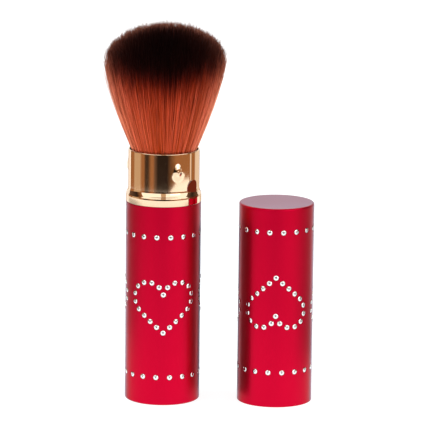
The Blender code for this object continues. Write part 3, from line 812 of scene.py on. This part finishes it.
def stage_for_mirrors(name, mesh):
    """Adds a mesh to the scene as an object that only metal and stones see."""
    staged = bpy.data.objects.new(name, mesh)
    scene.collection.objects.link(staged)
    staged.visible_camera = staged.visible_diffuse = staged.visible_shadow = False
    staged.visible_transmission = False
    return staged


def add_card(name, near, far, paints, strength=1.0):
    """A card swept round the object from azimuth to azimuth.

    Its two edges are given by their distance and height, and its paint by (azimuth, colour).
    """
    start, end = radians(paints[0][0]), radians(paints[-1][0])
    form = bmesh.new()
    foot = [form.verts.new((0, -distance, height)) for distance, height in (near, far)]
    edge = form.edges.new(foot)
    bmesh.ops.rotate(form, verts=foot, cent=(0, 0, 0), matrix=Matrix.Rotation(start, 3, "Z"))
    bmesh.ops.spin(
        form,
        geom=foot + [edge],
        cent=(0, 0, 0),
        axis=(0, 0, 1),
        angle=end - start,
        steps=max(2, int(degrees(end - start) / 3)),
    )
    material, tree, shader = new_material(name)
    coords = add(tree, "SeparateXYZ", links={0: add(tree, "TexCoord").outputs["Object"]}).outputs
    depth = add(tree, "Math", {1: -1}, {0: coords["Y"]}, operation="MULTIPLY")
    azimuth = add(tree, "Math", links={0: coords["X"], 1: depth}, operation="ARCTAN2")
    place = add(tree, "MapRange", {"From Min": start, "From Max": end}, {"Value": azimuth})
    paint = add(tree, "ValToRGB", links={"Fac": place})
    stops = paint.color_ramp.elements
    stops[0].color, stops[1].color = linear(paints[0][1]), linear(paints[-1][1])
    for degree, colour in paints[1:-1]:
        stops.new((radians(degree) - start) / (end - start)).color = linear(colour)
    glow = add(tree, "Emission", {"Strength": strength}, {"Color": paint})
    feed(tree.nodes["Material Output"], links={"Surface": glow})
    return stage_for_mirrors(name, finished_mesh(name, form, material))


WHITE, GREY, CREAM, TAN = "#FFFFFF", "#B8B8B8", "#EDDCCD", "#CBAE90"
BROWN, UMBER, SEPIA, DARK = "#A4714A", "#6D5444", "#46362A", "#2D231D"
add_card(
    "table_shade",
    (90 * mm, 0.2 * mm),
    (300 * mm, 0.2 * mm),
    [(-140, WHITE), (-122, GREY), (-92, GREY), (-62, WHITE), (62, WHITE), (95, GREY), (125, GREY)],
    1.1,
)
room = add_card(
    "room_beyond_table",
    (316 * mm, 0),
    (316 * mm, 70 * mm),
    [
        (-134, BROWN),
        (-112, BROWN),
        (-107, TAN),
        (-82, TAN),
        (-75, BROWN),
        (-67, BROWN),
        (-60, SEPIA),
        (-51, SEPIA),
        (-40, BROWN),
        (-34, BROWN),
        (-28, UMBER),
        (-18, DARK),
        (12, DARK),
        (40, BROWN),
        (92, BROWN),
        (94, CREAM),
        (98, CREAM),
        (101, BROWN),
        (117, BROWN),
        (122, CREAM),
        (144, CREAM),
    ],
)
# To the right of the front the card stands a little farther off, so that the neck mirrors more table
for vert in room.data.vertices:
    azimuth = degrees(atan2(vert.co.x, -vert.co.y))
    if azimuth < 92:
        vert.co.xy *= 1 + 0.085 * min(max((azimuth - 12) / 35, 0), 1)
add_card(
    "room_behind",
    (225 * mm, 0),
    (225 * mm, 45 * mm),
    [
        (142, CREAM),
        (156, CREAM),
        (162, TAN),
        (172, BROWN),
        (178, DARK),
        (190, DARK),
        (200, BROWN),
        (214, TAN),
    ],
)
add_card("wall_left", (1, 0), (1, 1), [(-134, UMBER), (-95, DARK), (-74, BROWN)])
add_card("wall_right", (1, 0), (1, 1), [(83, UMBER), (105, DARK), (134, UMBER)])
add_card("window_front", (1, 0.07), (1, 1), [(-74, WHITE), (83, WHITE)], 1.3)
add_card("ceiling_shade", (1, 1), (1, 2.6), [(-80, UMBER), (80, UMBER)])
add_card("strip_light", (0.98, 0.05), (0.98, 0.4), [(22, WHITE), (55, WHITE)], 2.2)
add_card("camera_body", (0.99, 0.03), (0.99, 0.98), [(-8, TAN), (8, TAN)])


def add_flag(name, middle, half_depth, half_height, colour, shows, corners=4):
    """A glowing upright flag, seen only in mirror-like surfaces, that paints a dark patch into them;
    it shows to the cap (1), to the barrel (-1) or to both (0).
    """
    form = bmesh.new()
    shape = Matrix.Diagonal((half_height, half_depth, 1, 1)) @ Matrix.Rotation(pi / corners, 4, "Z")
    place = Matrix.Translation(middle) @ Matrix.Rotation(pi / 2 * (shows or 1), 4, "Y")
    bmesh.ops.create_circle(
        form, cap_ends=True, segments=corners, radius=1 / cos(pi / corners), matrix=place @ shape
    )
    material, tree, shader = new_material(name)
    glow = add(tree, "Emission", {"Color": linear(colour)})
    back = add(tree, "NewGeometry").outputs["Backfacing"]
    behind = add(tree, "BsdfTransparent") if shows else glow
    sides = add(tree, "MixShader", links={0: back, 1: glow, 2: behind})
    feed(tree.nodes["Material Output"], links={"Surface": sides})
    stage_for_mirrors(name, finished_mesh(name, form, material))


low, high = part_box("cap_shell")
cap_edge = (low.x - 0.3 * mm, (low.y + high.y) / 2, high.z + 1.7 * mm)
# Painted shade: a dark flag behind the gap darkens the flanks of barrel and cap that face each other
add_flag("painted_gap_shade_flag", (17.5 * mm, 14 * mm, 25 * mm), 10 * mm, 25 * mm, "#4A2228", 0)
# Painted reflection: a dark red flag stands in for the barrel mirrored in the cap's side that faces
# it
add_flag("painted_barrel_reflection_flag", (13 * mm, -3 * mm, 26 * mm), 8 * mm, 26 * mm, "#761020", 1)
# Painted reflection: a dark red-brown oval above the cap's edge darkens the cap top mirrored in the
# neck
add_flag("painted_cap_top_reflection_flag", cap_edge, 8.5 * mm, 2.7 * mm, "#6E2E22", -1, corners=32)
